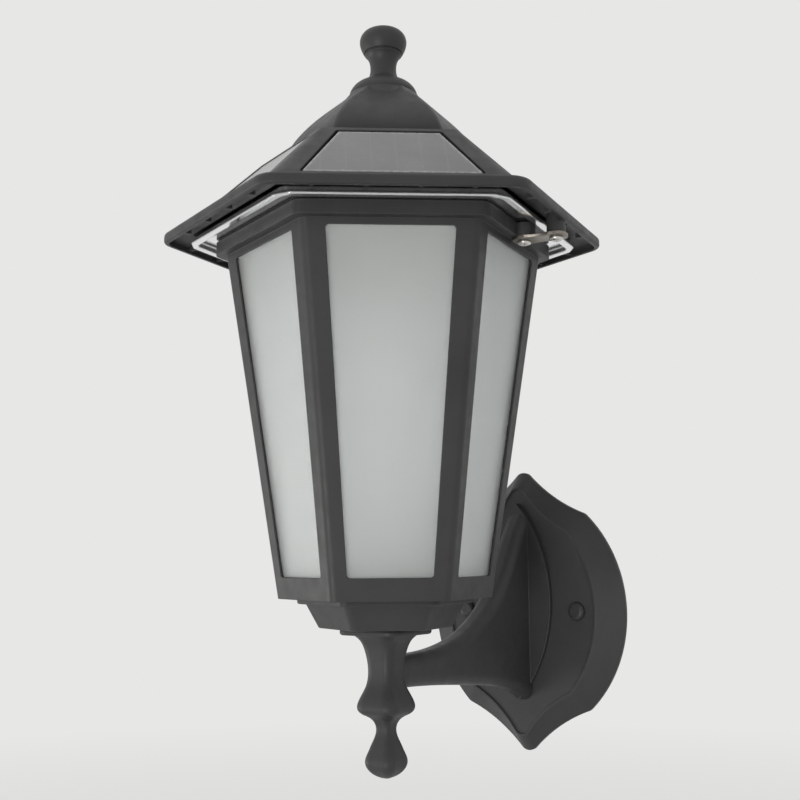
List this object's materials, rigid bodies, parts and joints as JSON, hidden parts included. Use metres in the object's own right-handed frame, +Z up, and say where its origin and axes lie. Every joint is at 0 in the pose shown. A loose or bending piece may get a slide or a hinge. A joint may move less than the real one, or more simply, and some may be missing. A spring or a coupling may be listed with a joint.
{
  "type": "solar wall light",
  "caption": "Hexagonal lantern wall light with frosted panes and a solar-panel roof that lifts off, carried on a curved arm from a shaped wall plate.",
  "frame": {"origin": "middle of the wall plate's back, between the two wall screw holes", "axes": "+Y into the wall, along the wall screws; the light stands out along -Y; +Z up, +X to the right for someone who looks at the wall"},
  "size_m": [0.1958, 0.2301, 0.3585],
  "materials": {
    "housing_plastic": "satin charcoal grey",
    "window_plastic": "frosted translucent",
    "panel_glass": "glossy clear resin over cells",
    "reflector_metal": "mirror bright",
    "steel": "bright zinc",
    "seal_rubber": "matte",
    "light_board": "white mask",
    "light_chips": "clear",
    "black_plastic": "matte",
    "button_plastic": "matte",
    "battery_skin": "shrink film",
    "circuit_board": "green mask"
  },
  "bodies": {
    "bracket": {"wall_plate": "housing_plastic", "screw_caps": "housing_plastic", "bracket_arm": "housing_plastic", "arm_screws": "steel", "drop_finial": "housing_plastic", "tie_rod": "steel", "tie_washer": "steel", "tie_nut": "steel"},
    "lantern": {"lantern_frame": "housing_plastic", "window_pane_1": "window_plastic", "window_pane_2": "window_plastic", "window_pane_3": "window_plastic", "window_pane_4": "window_plastic", "window_pane_5": "window_plastic", "window_pane_6": "window_plastic", "base_cup": "housing_plastic", "base_screws": "steel", "rim_seal": "seal_rubber", "strap_right": "steel", "strap_left": "steel", "strap_screws": "steel", "roof_screws": "steel"},
    "roof": {"roof_shell": "housing_plastic", "solar_panel_1": "panel_glass", "solar_panel_2": "panel_glass", "solar_panel_3": "panel_glass", "solar_panel_4": "panel_glass", "solar_panel_5": "panel_glass", "solar_panel_6": "panel_glass", "roof_cap": "housing_plastic", "finial": "housing_plastic", "finial_stud": "steel", "finial_nut": "steel", "reflector_plate": "reflector_metal", "reflector_screws": "steel", "led_board": "light_board", "led_chips": "light_chips", "switch_housing": "black_plastic", "battery_holder": "black_plastic", "battery": "battery_skin", "board_spacers": "black_plastic", "control_board": "circuit_board", "board_components": "black_plastic"},
    "button": {"switch_button": "button_plastic"}
  },
  "joints": [
    {"name": "lantern_turn", "type": "hinge", "parent": "bracket", "child": "lantern", "pos_m": [0, -0.128, 0], "axis": [0, 0, 1], "continuous": true},
    {"name": "roof_lift", "type": "slide", "parent": "lantern", "child": "roof", "axis": [0, 0, 1], "range_m": [0, 0.12]},
    {"name": "switch_press", "type": "slide", "parent": "roof", "child": "button", "axis": [0, 0, 1], "range_m": [0, 0.0015], "stiffness_N_per_m": 600}
  ]
}
